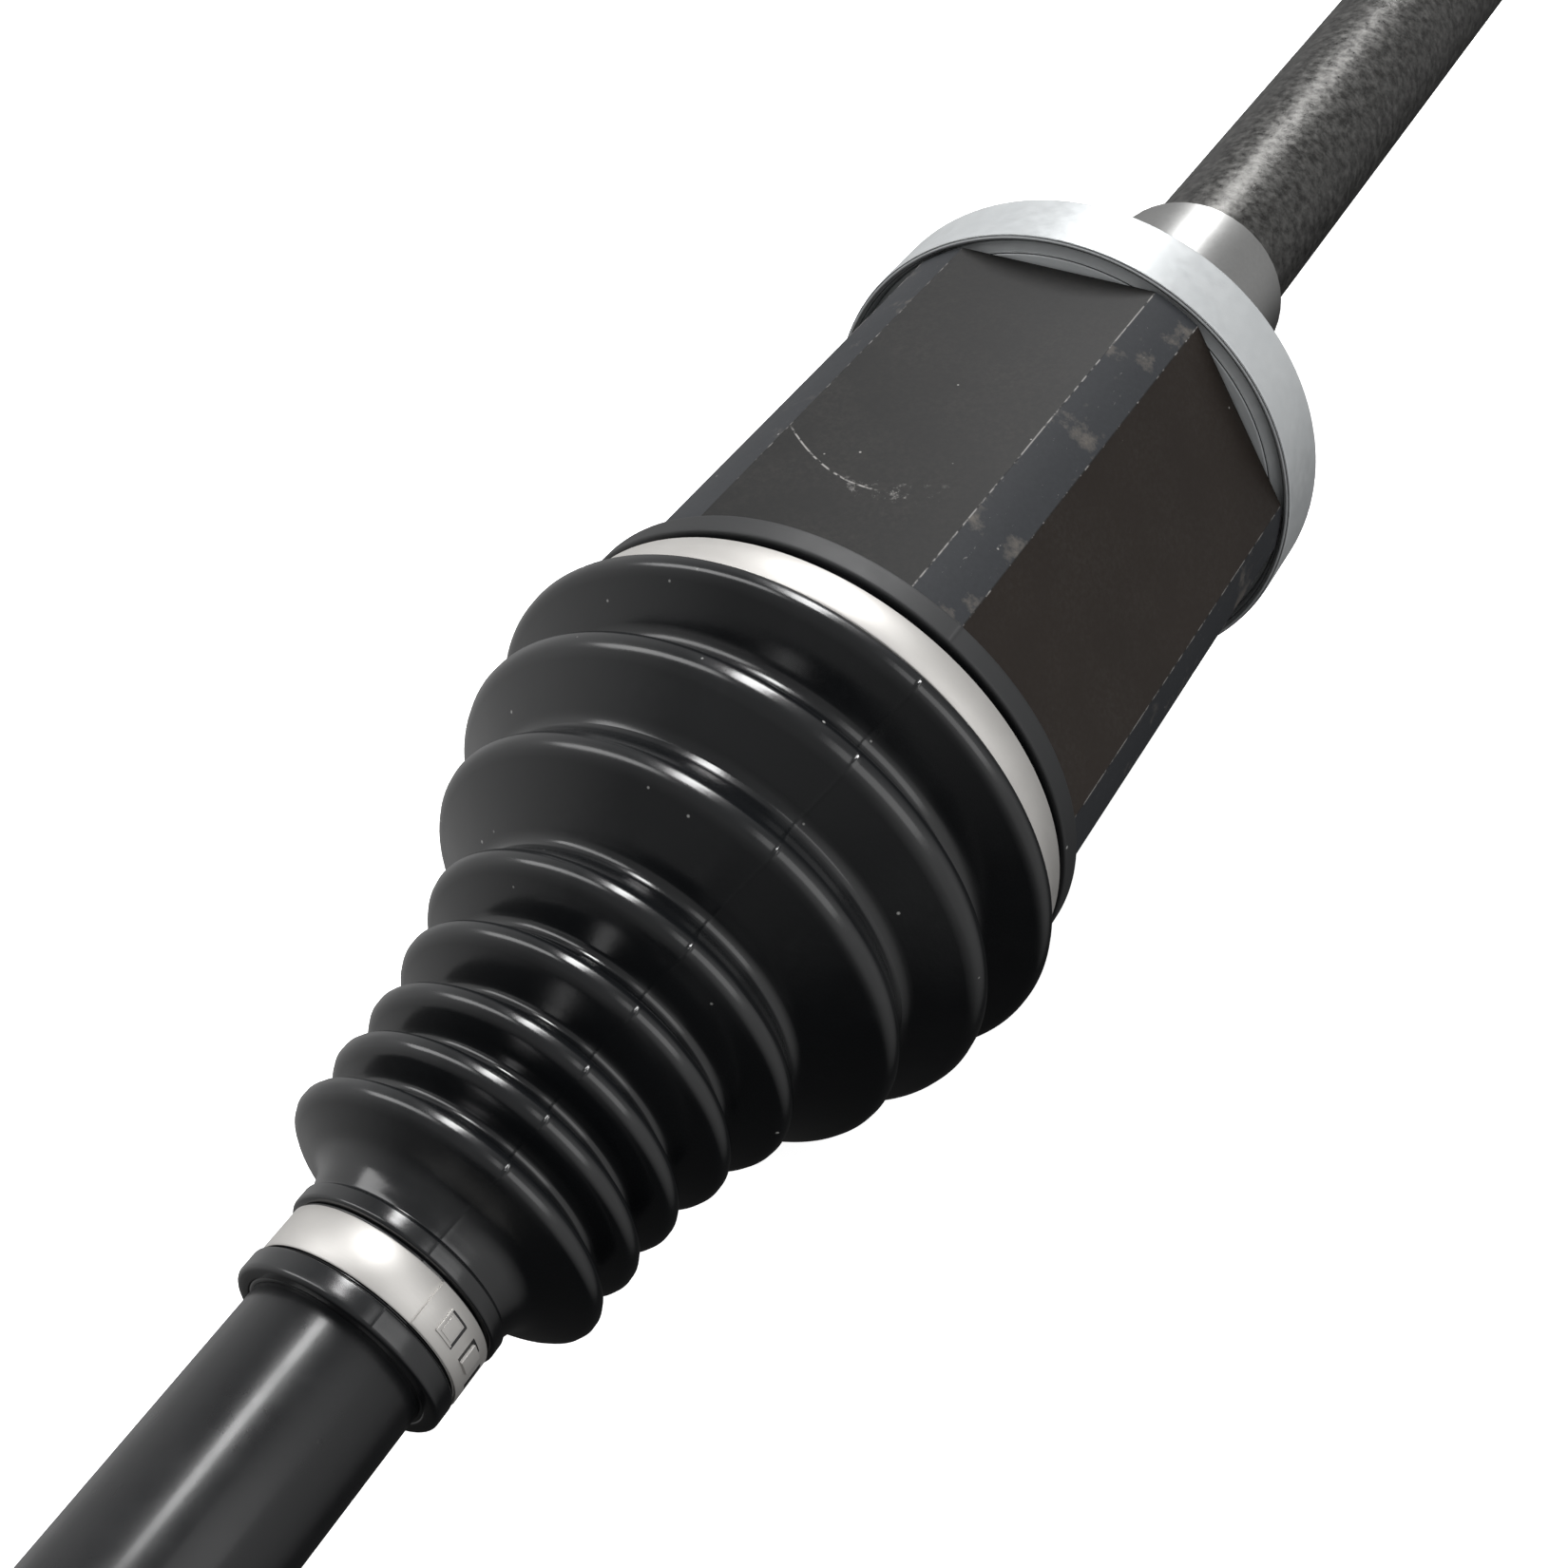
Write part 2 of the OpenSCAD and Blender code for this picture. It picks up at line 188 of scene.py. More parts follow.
# ---- materials ---------------------------------------------------------------------------------

class Shader:
    """A Principled material whose colour, roughness and bump come from procedural nodes."""

    def __init__(self, name, metallic=0.0, specular=0.5, coat=0.0, coat_roughness=0.1):
        self.material = bpy.data.materials.new(name)
        self.material.use_nodes = True
        self.nodes = self.material.node_tree.nodes
        self.links = self.material.node_tree.links
        self.shader = self.nodes["Principled BSDF"]
        self.shader.inputs["Metallic"].default_value = metallic
        self.shader.inputs["Specular IOR Level"].default_value = specular
        self.shader.inputs["Coat Weight"].default_value = coat
        self.shader.inputs["Coat Roughness"].default_value = coat_roughness
        self.coordinates = self.nodes.new("ShaderNodeTexCoord").outputs["Object"]

    def mapped(self, scale):
        node = self.nodes.new("ShaderNodeMapping")
        node.inputs["Scale"].default_value = scale
        self.links.new(self.coordinates, node.inputs["Vector"])
        return node.outputs["Vector"]

    def noise(self, size, detail=4.0, roughness=0.55, stretch=(1, 1, 1)):
        """Noise whose features measure about size millimetres."""
        node = self.nodes.new("ShaderNodeTexNoise")
        node.inputs["Scale"].default_value = 1.0
        node.inputs["Detail"].default_value = detail
        node.inputs["Roughness"].default_value = roughness
        scale = tuple(s / (size * MM) for s in stretch)
        self.links.new(self.mapped(scale), node.inputs["Vector"])
        return node.outputs["Fac"]

    def cells(self, size):
        """Distance to the nearest of many scattered points, about size millimetres apart."""
        node = self.nodes.new("ShaderNodeTexVoronoi")
        node.inputs["Scale"].default_value = 1.0
        self.links.new(self.mapped((1 / (size * MM),) * 3), node.inputs["Vector"])
        return node.outputs["Distance"]

    def span(self, value, low, high, to_low=0.0, to_high=1.0):
        """Maps low..high to to_low..to_high, clamped."""
        node = self.nodes.new("ShaderNodeMapRange")
        for key, number in (("From Min", low), ("From Max", high), ("To Min", to_low), ("To Max", to_high)):
            node.inputs[key].default_value = number
        self.links.new(value, node.inputs["Value"])
        return node.outputs["Result"]

    def maths(self, operation, *values):
        node = self.nodes.new("ShaderNodeMath")
        node.operation = operation
        for socket, value in zip(node.inputs, values):
            if isinstance(value, (int, float)):
                socket.default_value = value
            else:
                self.links.new(value, socket)
        return node.outputs["Value"]

    def mix(self, factor, a, b):
        node = self.nodes.new("ShaderNodeMix")
        node.data_type = "RGBA"
        self.links.new(factor, node.inputs["Factor"])
        for key, value in (("A", a), ("B", b)):
            socket = next(s for s in node.inputs if s.name == key and s.type == "RGBA")
            if isinstance(value, tuple):
                socket.default_value = (*value, 1)
            else:
                self.links.new(value, socket)
        return next(s for s in node.outputs if s.type == "RGBA")

    def set(self, key, value):
        self.links.new(value, self.shader.inputs[key])

    def bump(self, height, strength, distance):
        node = self.nodes.new("ShaderNodeBump")
        node.inputs["Strength"].default_value = strength
        node.inputs["Distance"].default_value = distance * MM
        self.links.new(height, node.inputs["Height"])
        self.links.new(node.outputs["Normal"], self.shader.inputs["Normal"])

    def along(self):
        """Distance along the shaft line, in metres, and the angle round it, in radians."""
        split = self.nodes.new("ShaderNodeSeparateXYZ")
        self.links.new(self.coordinates, split.inputs["Vector"])
        angle = self.maths("ARCTAN2", split.outputs["Y"], split.outputs["Z"])
        return split.outputs["X"], angle

    def times(self, a, b):
        return self.maths("MULTIPLY", a, b)

    def between(self, value, low, high, soft):
        """1 where value lies between low and high, with soft edges."""
        rise = self.span(value, low - soft, low + soft)
        fall = self.span(value, high - soft, high + soft, 1.0, 0.0)
        return self.times(rise, fall)

    def specks(self, size, share):
        """Sparse small dots: 1 on a dot, 0 elsewhere."""
        return self.span(self.cells(size), share, share * 0.5)


def rubber():
    """Glossy black rubber with faint bloom and dust specks."""
    s = Shader("boot_rubber", specular=0.62)
    cloud = s.noise(14, detail=5)
    bloom = s.times(s.span(s.noise(24, detail=6), 0.52, 0.78), s.span(s.noise(2.2), 0.35, 0.7))
    base = s.mix(cloud, (0.0030, 0.0034, 0.0040), (0.0052, 0.0060, 0.0070))
    hazy = s.mix(s.times(bloom, 0.35), base, (0.024, 0.025, 0.027))
    x, _ = s.along()
    lip = s.between(x, (CLAMP_X - 9) * MM, (CLAMP_X - 3.95) * MM, 0.0002)
    shoulder = s.between(x, (CLAMP_X + 3) * MM, (CLAMP_X + 7) * MM, 0.0012)
    rubbed = s.maths("ADD", lip, s.times(shoulder, 0.45))
    wear = s.times(rubbed, s.span(cloud, 0.3, 0.7, 0.75, 1.0))
    matte = s.mix(wear, hazy, (0.006, 0.0066, 0.0075))
    s.set("Base Color", s.mix(s.specks(6.5, 0.05), matte, (0.34, 0.34, 0.33)))
    gloss = s.span(s.noise(11, detail=6), 0.3, 0.7, 0.15, 0.25)
    s.set("Roughness", s.maths("ADD", gloss, s.times(rubbed, 0.40)))
    s.bump(s.maths("ADD", s.noise(0.8, detail=3), s.times(s.noise(7), 2.5)), 0.10, 0.06)
    return s.material


def painted_bar():
    """Satin black paint with slight orange peel and a few raised specks."""
    s = Shader("painted_bar", specular=0.36, coat=0.18, coat_roughness=0.14)
    streaks = s.noise(18, stretch=(0.3, 1, 1))
    s.set("Base Color", s.mix(streaks, (0.0040, 0.0042, 0.0048), (0.0075, 0.008, 0.009)))
    s.set("Roughness", s.span(s.noise(5, detail=7), 0.3, 0.7, 0.26, 0.34))
    peel = s.noise(1.6, detail=3)
    s.bump(s.maths("ADD", peel, s.times(s.specks(6, 0.06), 2.0)), 0.12, 0.06)
    return s.material


def stainless():
    """Rolled stainless strip with a fine grain round the shaft."""
    s = Shader("stainless_band", metallic=0.72)
    brushed = s.noise(0.35, detail=4, stretch=(6, 0.12, 0.12))
    s.set("Base Color", s.mix(s.noise(9), (0.47, 0.458, 0.440), (0.57, 0.556, 0.536)))
    s.set("Roughness", s.span(brushed, 0.3, 0.7, 0.44, 0.56))
    s.bump(brushed, 0.10, 0.02)
    return s.material


def zinc_plate():
    """Satin zinc plate with turning marks."""
    s = Shader("zinc_plate", metallic=0.35)
    spangle = s.noise(6, detail=5)
    turning = s.noise(0.25, detail=3, stretch=(1, 0.1, 0.1))
    s.set("Base Color", s.mix(spangle, (0.43, 0.45, 0.46), (0.52, 0.535, 0.54)))
    s.set("Roughness", s.span(s.noise(2.2, detail=6), 0.3, 0.7, 0.34, 0.48))
    s.bump(turning, 0.10, 0.02)
    return s.material


def bearing_steel():
    s = Shader("bearing_steel", metallic=1.0)
    s.set("Base Color", s.mix(s.noise(4), (0.60, 0.60, 0.61), (0.68, 0.68, 0.68)))
    s.set("Roughness", s.span(s.noise(1.5), 0.3, 0.7, 0.08, 0.16))
    return s.material


def ground_steel():
    s = Shader("ground_steel", metallic=1.0)
    grain = s.noise(0.4, detail=4, stretch=(1, 0.15, 0.15))
    s.set("Base Color", s.mix(s.noise(7), (0.30, 0.29, 0.28), (0.42, 0.41, 0.40)))
    s.set("Roughness", s.span(grain, 0.3, 0.7, 0.26, 0.42))
    s.bump(grain, 0.12, 0.02)
    return s.material


def corner_strips(s, angle):
    """1 on the six narrow arcs between the flats, then the turn from the nearest arc and from +Z."""
    degrees = s.times(angle, 180 / math.pi)
    turn = s.maths("SUBTRACT", s.maths("MODULO", s.maths("ADD", degrees, 360), SIXTH), SIXTH / 2)
    return s.between(turn, -STRIP_HALF, STRIP_HALF, 0.15), turn, degrees


def hairline(s, x, degrees):
    """A curved scratch across the upper flat, with scuffs at its end."""
    first_turn, last_turn, first_x = -22, -0.4, 77.5
    slope, sag = 0.37, -0.0148
    t = s.maths("SUBTRACT", degrees, first_turn)
    bend = s.times(s.times(t, s.maths("SUBTRACT", t, last_turn - first_turn)), sag)
    curve = s.maths("ADD", s.maths("ADD", s.times(t, slope), bend), first_x)
    off = s.maths("ABSOLUTE", s.maths("SUBTRACT", s.maths("DIVIDE", x, MM), curve))
    broken = s.span(s.noise(1.1, detail=5), 0.40, 0.52)
    line = s.times(s.span(off, 0.10, 0.26, 1.0, 0.0), broken)
    line = s.times(line, s.between(degrees, -23, 3, 1))
    scuffs = s.times(s.span(off, 1.0, 3.2, 1.0, 0.0), s.between(degrees, -3, 15, 3))
    scuffs = s.times(scuffs, s.span(s.noise(2.4, detail=7, roughness=0.75), 0.56, 0.68))
    return s.maths("MAXIMUM", line, scuffs)


def forged_flats(s, x, angle, fine, broad):
    """Colour of the hexagon: dark flats, two of them brown, and paler worn strips at the corners."""
    strip, turn, degrees = corner_strips(s, angle)
    grey = s.mix(broad, (0.0065, 0.0065, 0.0065), (0.012, 0.0118, 0.0115))
    brown = s.mix(broad, (0.013, 0.0095, 0.0075), (0.021, 0.0158, 0.0125))
    facing = s.maths("MODULO", s.maths("ADD", degrees, 360), 180)
    flat = s.mix(s.between(facing, 36, 84, 0.2), grey, brown)
    cloud = s.span(s.noise(13, detail=5), 0.40, 0.70, 0.25, 1.0)
    grain = s.times(s.span(fine, 0.42, 0.70), cloud)
    flat = s.mix(s.times(grain, 0.45), flat, (0.034, 0.031, 0.028))
    worn = s.span(s.noise(10, detail=7, roughness=0.68), 0.57, 0.69)
    bluish = s.mix(fine, (0.020, 0.0215, 0.024), (0.032, 0.034, 0.038))
    patches = s.mix(s.times(worn, 0.7), bluish, (0.120, 0.108, 0.094))
    base = s.mix(strip, flat, patches)
    near_edge = s.times(s.between(turn, -6.0, -5.75, 0.1), s.span(s.noise(2.1, detail=7), 0.44, 0.54))
    far_edge = s.times(s.between(turn, 5.8, 6.0, 0.1), s.span(s.noise(2.6, detail=7), 0.54, 0.62))
    edge = s.maths("MAXIMUM", near_edge, far_edge)
    chips = s.noise(2.6, detail=8, roughness=0.8, stretch=(1, 3, 3))
    nicks = s.times(strip, s.span(chips, 0.645, 0.68))
    marks = s.maths("MAXIMUM", s.maths("MAXIMUM", edge, nicks), hairline(s, x, degrees))
    specks = s.specks(7, 0.035)
    return s.mix(s.maths("MAXIMUM", s.times(marks, 0.75), specks), base, (0.30, 0.29, 0.28))


def housing_steel():
    """Dark phosphated hexagon, bright ground journal, and mottled dark stub."""
    s = Shader("housing_steel", metallic=0.0, specular=0.17)
    x, angle = s.along()
    mottle = s.noise(2.2, detail=9, roughness=0.72)
    fine = s.noise(0.9, detail=6, roughness=0.7)
    broad = s.noise(26, detail=4)
    dark = forged_flats(s, x, angle, fine, broad)
    stub = s.mix(s.span(mottle, 0.40, 0.64), (0.045, 0.044, 0.042), (0.135, 0.133, 0.128))
    journal = s.mix(fine, (0.36, 0.36, 0.355), (0.46, 0.46, 0.455))
    on_journal = s.between(x, JOURNAL[0] * MM, JOURNAL[1] * MM, 0.0004)
    on_stub = s.span(x, STUB_END[0] * MM, STUB_END[1] * MM, 1.0, 0.0)
    s.set("Base Color", s.mix(on_stub, s.mix(on_journal, dark, journal), stub))
    s.set("Metallic", s.maths("MAXIMUM", on_journal, s.times(on_stub, 0.8)))
    rough_dark = s.span(broad, 0.3, 0.7, 0.46, 0.56)
    rough_stub = s.span(mottle, 0.35, 0.65, 0.26, 0.44)
    off_stub = s.maths("SUBTRACT", 1.0, on_stub)
    rough = s.maths("ADD", s.times(rough_dark, off_stub), s.times(rough_stub, on_stub))
    s.set("Roughness", s.maths("SUBTRACT", rough, s.times(on_journal, 0.16)))
    s.bump(s.maths("ADD", fine, s.times(mottle, 0.5)), 0.22, 0.05)
    return s.material


def bell_steel():
    """Dark forged bell with bright machined seats and splines."""
    s = Shader("bell_steel", metallic=1.0)
    x, _ = s.along()
    fine = s.noise(0.9, detail=6, roughness=0.7)
    broad = s.noise(20, detail=5)
    dark = s.mix(broad, (0.035, 0.034, 0.033), (0.060, 0.058, 0.055))
    bright = s.mix(fine, (0.32, 0.32, 0.31), (0.44, 0.44, 0.43))
    machined = s.span(x, (OUTER_X + BELL_BACK[0]) * MM, (OUTER_X + BELL_BACK[1]) * MM)
    s.set("Base Color", s.mix(machined, dark, bright))
    s.set("Roughness", s.span(fine, 0.3, 0.7, 0.34, 0.5))
    s.bump(fine, 0.15, 0.04)
    return s.material


def floor_paint():
    s = Shader("floor_paint", specular=0.2)
    s.set("Base Color", s.mix(s.noise(300), (0.88, 0.88, 0.88), (0.90, 0.90, 0.90)))
    s.shader.inputs["Roughness"].default_value = 0.8
    s.shader.inputs["Emission Color"].default_value = (1, 1, 1, 1)
    s.shader.inputs["Emission Strength"].default_value = FLOOR_GLOW
    return s.material


MATERIALS = {
    "boot_rubber": rubber(), "painted_steel": painted_bar(), "stainless": stainless(),
    "zinc": zinc_plate(), "ball_steel": bearing_steel(), "bright_steel": ground_steel(),
    "dark_steel": housing_steel(),
}


def dress(obj, material):
    obj.data.materials.clear()
    obj.data.materials.append(material)


def dress_cad_nodes():
    """Gives each CAD node the material of its slot and softens the edges of the visible ones."""
    slots = {p["node"]: p["material_slot"] for p in frame["record"]["subparts"]}
    for name, obj in nodes.items():
        dress(obj, MATERIALS[slots[name]])
        if "custom_normal" in obj.data.attributes:
            obj.data.attributes.remove(obj.data.attributes["custom_normal"])
        obj.data.shade_smooth()
        weld = obj.modifiers.new("weld", "WELD")
        weld.merge_threshold = 0.002 * MM
        bevel = obj.modifiers.new("edges", "BEVEL")
        bevel.width = (0.35 if name in ("inner_housing", "dust_ring", "outer_race") else 0.15) * MM
        bevel.segments = 2
        bevel.limit_method = "ANGLE"
        bevel.angle_limit = math.radians(16 if name == "inner_housing" else 28)
        bevel.harden_normals = True
    dress(nodes["outer_race"], bell_steel())


# ---- boots -------------------------------------------------------------------------------------

def mould_line(crests):
    """Lift for a boot: a fine ridge where the mould halves met, with a nick of flash at each crest."""
    def lift(x, r, turn):
        up = 0.0
        for side in (PARTING, PARTING + math.pi):
            off = ((turn - side + math.pi) % (2 * math.pi) - math.pi) * r
            if abs(off) < 1.5:
                up += 0.07 * math.exp(-(off / 0.22) ** 2)
                for cx, cr in crests:
                    if abs(x - cx) < 2 and abs(r - cr) < 1.2:
                        up += 0.22 * math.exp(-(off / 0.28) ** 2 - ((x - cx) / 0.6) ** 2)
        return up
    return lift


def boot_turns():
    fine = [k * 0.004 for k in (-4, -2.5, -1.2, 0, 1.2, 2.5, 4)]
    return even_turns([side + f for side in (PARTING, PARTING + math.pi) for f in fine])


INNER_FOLDS = [
    (7.9, 48.6), (15.2, 39.7), (22.2, 46.1), (30.8, 36.8), (38, 39.7), (46, 27.8),
    (52.6, 30.9), (57.8, 23.0), (62.8, 27.6), (68, 20.4), (72.8, 25.6), (77, 19.8), (81.1, 25.35),
    (85.2, 19.8), (89.3, 24.9),
]
INNER_ROUNDING = [3.4, 2.4, 3.0, 2.2, 2.6, 1.8, 2.2, 1.4, 2.0, 1.1, 1.9, 1.1, 1.9, 1.1, 1.9]
SEAM, SEAM_R = INNER_FOLDS[3]     # the valley where the inner boot is split into two meshes


def inner_boot_outline():
    """Outside and inside of the inner boot, from the large end, as (x, r)."""
    bellows = folds(INNER_FOLDS, INNER_ROUNDING)
    outside = [(-8.4, CORNER_R, 0), (-8.4, 46.3, 0.7), (-4.1, 46.3, 0.6), (-3.7, 44.5, 0.2),
               (-2.9, 44.5, 0.2), (-2.7, BAND_R, 0.2), (3.6, BAND_R, 0.3)]
    outside += bellows
    outside += [(93.9, 17.0, 8), (98.2, 15.45, 0.3), (98.6, 16.1, 0.4), (100.9, 16.1, 0.5),
                (101.2, SMALL_BAND_R, 0.2), (108.5, SMALL_BAND_R, 0.2), (108.9, 15.75, 0.5),
                (112.2, 15.75, 0.7), (112.2, 13.6, 0.5), (111.6, BAR_R, 0)]
    return resampled(filleted(outside), 0.7)


def shell_of(outline, wall, bore):
    """The inside of a boot: the outline moved in by the wall, never under the bore."""
    return [(x, max(r - wall, bore)) for x, r in outline]


def boot_piece(name, outline, lift, node):
    """One boot mesh turned round the shaft line from an outline, from start to end along the shaft, in place
    of its CAD node.
    """
    obj = turned(name, outline, boot_turns(), closed=True, lift=lift, sharp=50)
    dress(obj, MATERIALS["boot_rubber"])
    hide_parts(node)
    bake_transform(obj)


def inner_boot():
    outside = [(CLAMP_X + x, r) for x, r in inner_boot_outline()]
    crests = [(CLAMP_X + x, r) for x, r in INNER_FOLDS[::2]]
    seam = CLAMP_X + SEAM
    cut = min(range(len(outside)), key=lambda i: abs(outside[i][0] - seam) + abs(outside[i][1] - SEAM_R))
    lift = mould_line(crests)
    big, small = outside[:cut + 1], outside[cut:]
    big_in = [p for p in shell_of(big, BOOT_WALL, 0) if p[0] > CLAMP_X + 5]
    seat = [(-5.95, CORNER_R), (-5.85, SEAT_R), (5, SEAT_R)]
    big_in = [(CLAMP_X + x, r) for x, r in seat] + big_in
    small_in = shell_of(small, BOOT_WALL, BAR_R)
    outline_big = big + big_in[::-1]
    outline_small = small + small_in[::-1]
    boot_piece("inner_boot_housing_end", outline_big, lift,
               "inner_boot")
    boot_piece("inner_boot_shaft_end", outline_small, lift,
               "inner_boot")


OUTER_FOLDS = [
    (21, 45.8), (26.5, 39), (32, 44.2), (37.5, 36.2), (43, 40.6), (48.5, 30.2), (54, 35),
    (59.5, 25), (65, 29.6), (70, 21), (75, 25.2),
]
OUTER_ROUNDING = [2.4, 1.4, 2.4, 1.4, 2.2, 1.2, 2.0, 1.1, 1.9, 1.1, 1.9]


def outer_boot():
    outside = [(3, BELL_R, 0), (3, 46, 0.8), (6.2, 46, 0.6), (6.6, OUTER_BAND_R, 0.2)]
    outside += [(14.4, OUTER_BAND_R, 0.2), (14.8, 46, 0.6)] + folds(OUTER_FOLDS, OUTER_ROUNDING)
    outside += [(79.5, 18.6, 4), (82.4, 16.3, 1.2), (83, 16.7, 0.4), (84.5, 16.7, 0.5),
                (84.8, OUTER_SMALL_BAND_R, 0.2), (92.2, OUTER_SMALL_BAND_R, 0.2), (92.6, 16.4, 0.5),
                (95, 16.4, 0.7), (95, 13.6, 0.5), (94.4, BAR_R, 0)]
    outside = resampled(filleted(outside), 0.7)
    inside = [(16, BELL_R)] + [p for p in shell_of(outside, BOOT_WALL, BAR_R) if p[0] > 16]
    outline = [(OUTER_X - x, r) for x, r in outside + inside[::-1]]
    crests = [(OUTER_X - x, r) for x, r in OUTER_FOLDS[::2]]
    boot_piece("outer_boot_bellows", outline, mould_line(crests),
               "outer_boot")


# ---- clamps ------------------------------------------------------------------------------------

def band(name, x, r, width, thick, overlap, end, direction, node, body):
    """A flat band that closes on itself: its outer end, at turn end, lies over its inner end."""
    steps = 260
    total = 2 * math.pi + overlap
    start = end - direction * total
    half = width / 2
    edge = thick * 0.45
    verts, faces = [], []
    for k in range(steps + 1):
        along = total * k / steps
        climb = min(max((along - 2 * math.pi + 0.10) / 0.10, 0), 1)
        base = r + thick * 1.02 * climb * climb * (3 - 2 * climb)
        section = [(-half + edge, base), (half - edge, base), (half, base + edge * 0.8),
                   (half, base + thick - edge * 0.8), (half - edge, base + thick),
                   (-half + edge, base + thick), (-half, base + thick - edge * 0.8),
                   (-half, base + edge * 0.8)]
        verts += [ring_point(x + dx, rr, start + direction * along) for dx, rr in section]
    n = 8
    for k in range(steps):
        for i in range(n):
            j = (i + 1) % n
            faces.append((k * n + i, (k + 1) * n + i, (k + 1) * n + j, k * n + j))
    faces.append(tuple(range(n)))
    faces.append(tuple(steps * n + i for i in range(n))[::-1])
    if direction < 0:
        faces = [f[::-1] for f in faces]
    obj = make_object(name, verts, faces, 40)
    dress(obj, MATERIALS["stainless"])
    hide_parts(node)
    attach(obj, body)


def slab(verts, faces, x0, x1, a0, a1, r0, r1):
    """Adds a closed slab that follows the band: x0..x1 along the shaft, turns a0..a1, radii r0..r1."""
    steps = 6
    first = len(verts)
    for k in range(steps + 1):
        a = a0 + (a1 - a0) * k / steps
        verts += [ring_point(x, r, a) for x, r in ((x0, r0), (x1, r0), (x1, r1), (x0, r1))]
    for k in range(steps):
        for i in range(4):
            j = (i + 1) % 4
            p, q = first + 4 * k, first + 4 * (k + 1)
            faces.append((p + i, q + i, q + j, p + j))
    faces.append(tuple(first + i for i in range(4)))
    faces.append(tuple(first + 4 * steps + i for i in range(4))[::-1])


def closure(name, x, r, width, thick, end, node, body):
    """What locks a band: a pressed window and a lanced hook on the outer end, and thin dark slabs in rubber
    black laid over their slots, painted shade in place of real openings.
    """
    top = r + 2 * thick
    mm = 1 / top                                   # turn for one millimetre round the band
    reach = width * 0.26
    ridge, high = 0.32, 0.22
    steel, steel_faces, shade_verts, shade_faces = [], [], [], []

    def plate(x0, x1, a0, a1, up):
        slab(steel, steel_faces, x + x0, x + x1, end + a0 * mm, end + a1 * mm, top - 0.1, top + up)

    # a thin dark slab on top of the band where a slot opens: painted shade, not a hole
    def shade_slab(x0, x1, a0, a1):
        slab(shade_verts, shade_faces, x + x0, x + x1, end + a0 * mm, end + a1 * mm, top - 0.1, top + 0.03)

    plate(-reach, reach, 3.0, 3.0 + ridge, high)
    plate(reach - ridge, reach, 3.0, 6.4, high)
    plate(-reach + 0.5, reach - 0.5, 3.7, 6.0, 0.1)
    shade_slab(-reach - 0.05, -reach + 0.3, 3.2, 6.6)
    shade_slab(-reach, reach, 6.3, 6.85)
    shade_slab(-reach, reach - 0.2, 9.0, 9.7)
    shade_slab(-reach - 0.1, -reach + 0.35, 9.0, 12.0)
    plate(-reach + 0.4, reach - 0.2, 9.6, 12.4, 0.45)
    shade_slab(-reach, reach, 15.2, 16.8)
    # the second object holds the dark slabs, painted shade in rubber black over the slots
    for piece, verts, faces, material in ((name, steel, steel_faces, "stainless"),
                                          (name + "_painted_shade_slabs", shade_verts, shade_faces, "boot_rubber")):
        obj = make_object(piece, verts, faces, 30)
        soften = obj.modifiers.new("edges", "BEVEL")
        soften.width = 0.08 * MM
        soften.segments = 2
        dress(obj, MATERIALS[material])
        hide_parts(node)
        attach(obj, body)


def clamps():
    """The four bands, and what locks the three whose ends show."""
    small_end, outer_small_end, outer_end = (math.radians(a) for a in (48.5, 120, 200))
    inner_small = (CLAMP_X + 104.9, SMALL_BAND_R + BAND_GAP, 6.6, 0.4)
    outer_small = (OUTER_X - 88.5, OUTER_SMALL_BAND_R + BAND_GAP, 6.8, 0.4)
    outer_large = (OUTER_X - 10.5, OUTER_BAND_R + BAND_GAP, 7.2, 0.45)
    band("inner_large_band", CLAMP_X + 0.4, BAND_R + BAND_GAP, 6.2, 0.45, 0.9, math.radians(250), 1,
         "inner_clamp_large", "inner_joint_housing")
    band("inner_small_band", *inner_small, 1.3, small_end, -1, "inner_clamp_small", "shaft")
    closure("inner_small_closure", *inner_small, small_end, "inner_clamp_small", "shaft")
    band("outer_small_band", *outer_small, 1.3, outer_small_end, -1, "outer_clamp_small", "shaft")
    closure("outer_small_closure", *outer_small, outer_small_end, "outer_clamp_small", "shaft")
    band("outer_large_band", *outer_large, 0.5, outer_end, -1, "outer_clamp_large", "outer_bell")
    closure("outer_large_closure", *outer_large, outer_end, "outer_clamp_large", "outer_bell")


# ---- scene -------------------------------------------------------------------------------------

def area_light(name, place, target, size, power):
    data = bpy.data.lights.new(name, "AREA")
    data.shape = "RECTANGLE"
    data.size, data.size_y = size
    data.energy = power
    obj = bpy.data.objects.new(name, data)
    obj.location = place
    obj.rotation_euler = (Vector(target) - Vector(place)).to_track_quat("-Z", "Y").to_euler()
    bpy.context.scene.collection.objects.link(obj)


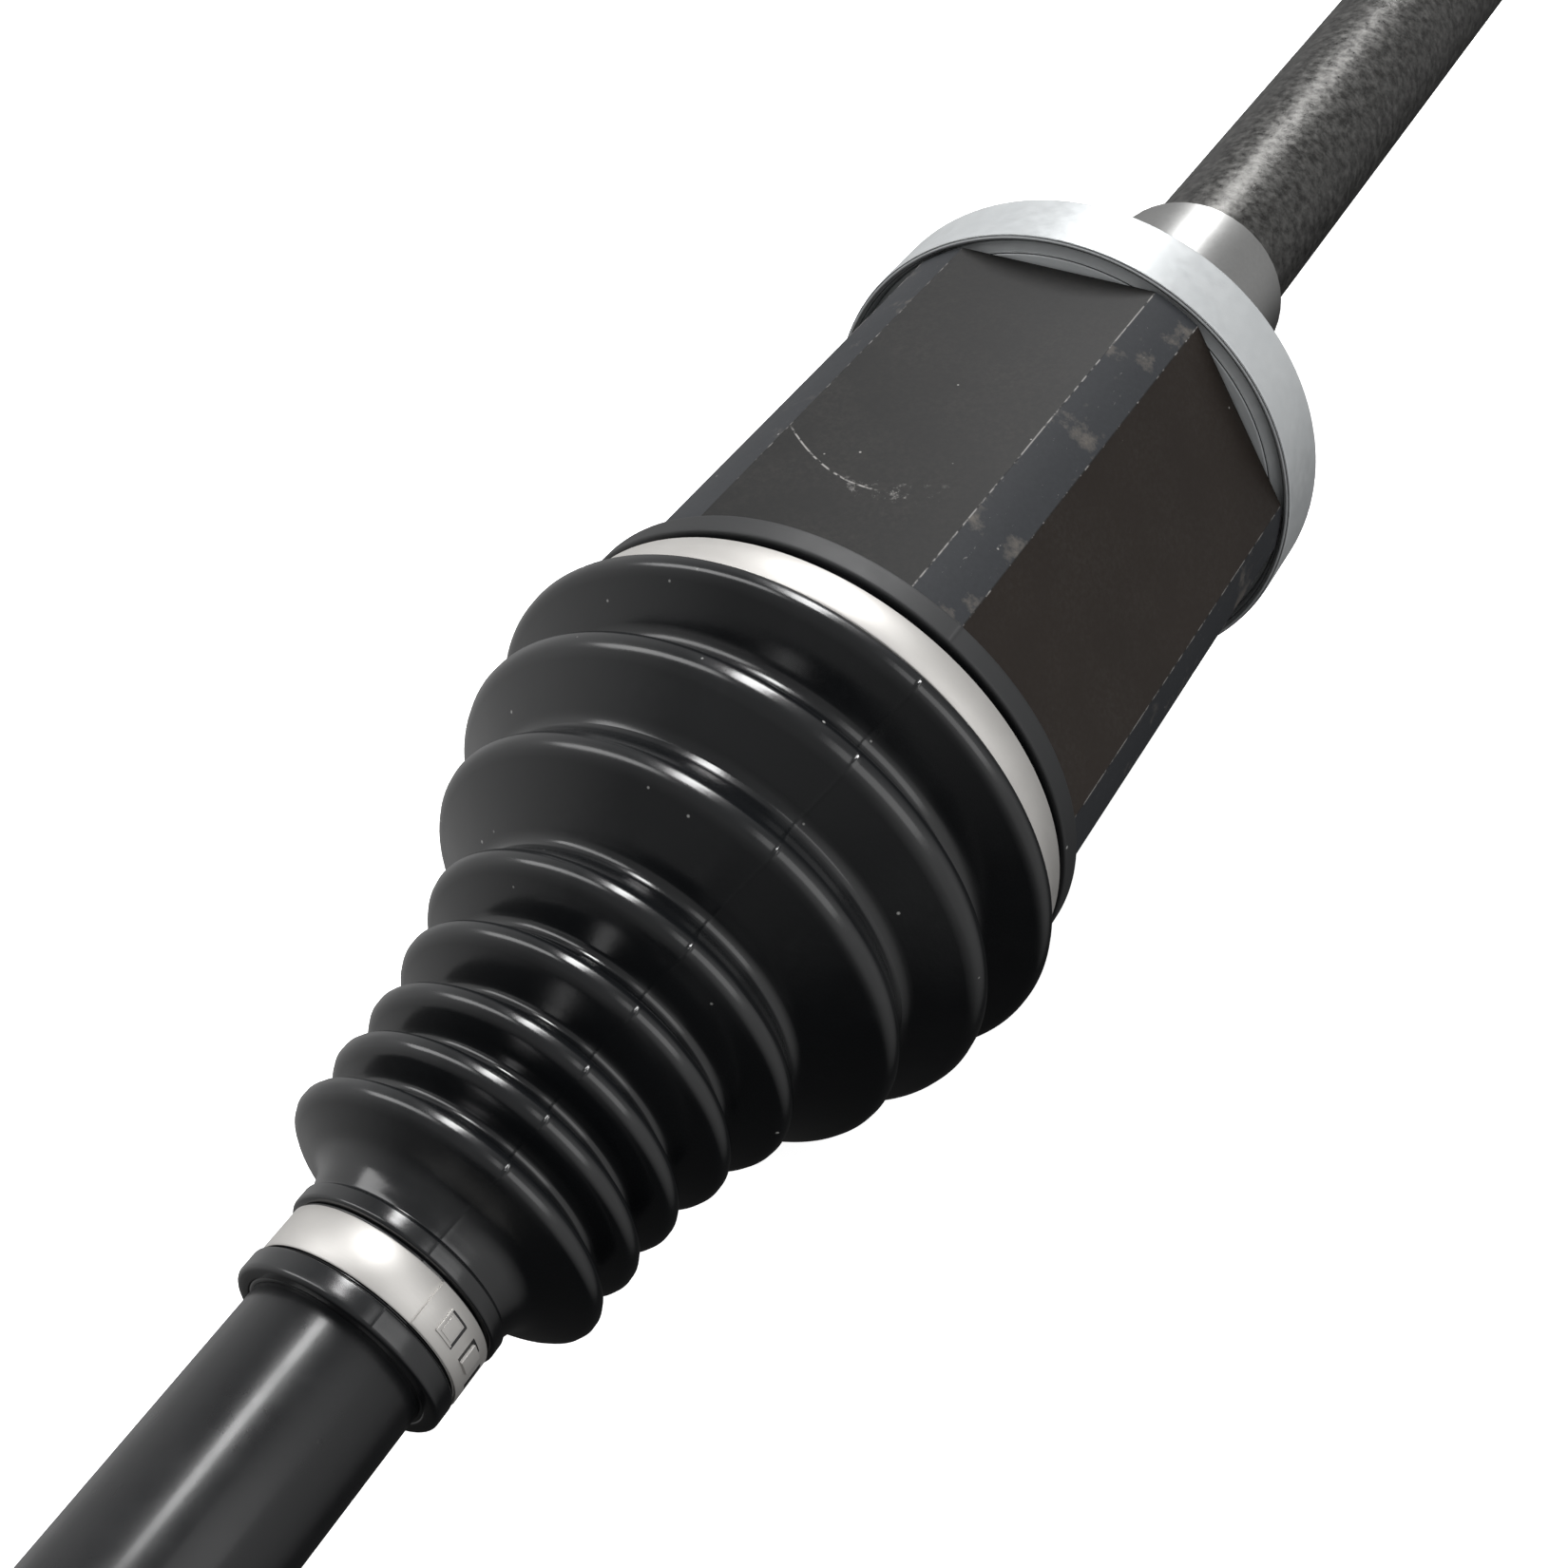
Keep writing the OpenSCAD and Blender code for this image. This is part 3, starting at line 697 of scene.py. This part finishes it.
def studio_world():
    """White above and on both sides, dark towards the floor."""
    world = bpy.data.worlds.new("studio")
    world.use_nodes = True
    nodes, links = world.node_tree.nodes, world.node_tree.links
    split = nodes.new("ShaderNodeSeparateXYZ")
    links.new(nodes.new("ShaderNodeTexCoord").outputs["Generated"], split.inputs["Vector"])
    size = nodes.new("ShaderNodeMath")
    size.operation = "ABSOLUTE"
    links.new(split.outputs["Y"], size.inputs[0])
    total = nodes.new("ShaderNodeMath")
    total.operation = "ADD"
    for value, numbers, socket in ((split.outputs["Z"], (-0.5, 0.5, WORLD_LOW, WORLD_HIGH), total.inputs[0]),
                                   (size.outputs[0], (0.45, 0.9, 0.0, WORLD_SIDES), total.inputs[1])):
        ramp = nodes.new("ShaderNodeMapRange")
        for key, number in zip(("From Min", "From Max", "To Min", "To Max"), numbers):
            ramp.inputs[key].default_value = number
        links.new(value, ramp.inputs["Value"])
        links.new(ramp.outputs["Result"], socket)
    links.new(total.outputs[0], nodes["Background"].inputs["Strength"])
    nodes["Background"].inputs["Color"].default_value = (1, 1, 1, 1)
    bpy.context.scene.world = world


def lights():
    studio_world()
    middle = (0.12, 0, 0)
    area_light("strip", (-0.78, -0.12, 1.25), middle, (0.30, 1.3), 26)
    area_light("key", (0.35, -0.9, 1.3), middle, (0.5, 1.4), 9)
    area_light("fill", (0.1, 1.2, 0.9), middle, (1.0, 1.2), 5)


def only_seen(obj):
    """Stages a white surface that the camera sees and that neither lights nor shades the object."""
    dress(obj, floor_paint())
    obj.visible_diffuse = False
    obj.visible_glossy = False


def floor():
    bpy.ops.mesh.primitive_plane_add(size=2 * ROOM_R, location=(0.15, 0, cad_box[0].z - 0.002))
    bpy.context.object.name = "studio_floor"
    only_seen(bpy.context.object)
    bpy.ops.mesh.primitive_uv_sphere_add(radius=ROOM_R, segments=48, ring_count=24)
    bpy.context.object.name = "studio_backdrop"
    bpy.context.object.visible_shadow = False
    only_seen(bpy.context.object)


def camera():
    """Looks down along the shaft from the wheel side, at the large boot clamp."""
    looks, level = Vector((-0.592, -0.3485, -0.7267)), Vector((-0.5073, 0.8618, 0))
    away, aside, above = 0.3133, -0.00084, 0.00068
    spin = Matrix.Rotation(math.radians(-4.4), 3, "X")
    back = spin @ -looks.normalized()
    right = spin @ level.normalized()
    up = back.cross(right).normalized()
    data = bpy.data.cameras.new("camera")
    data.lens = 45.2
    data.clip_start = 0.01
    obj = bpy.data.objects.new("camera", data)
    target = Vector((CLAMP_X * MM - 0.0004, 0, 0))
    place = target + back * away + right * aside + up * above
    obj.matrix_world = Matrix.Translation(place) @ Matrix((right, up, back)).transposed().to_4x4()
    bpy.context.scene.collection.objects.link(obj)
    bpy.context.scene.camera = obj


dress_cad_nodes()
inner_boot()
outer_boot()
clamps()
floor()
lights()
camera()
bpy.context.scene.view_settings.view_transform = "Standard"
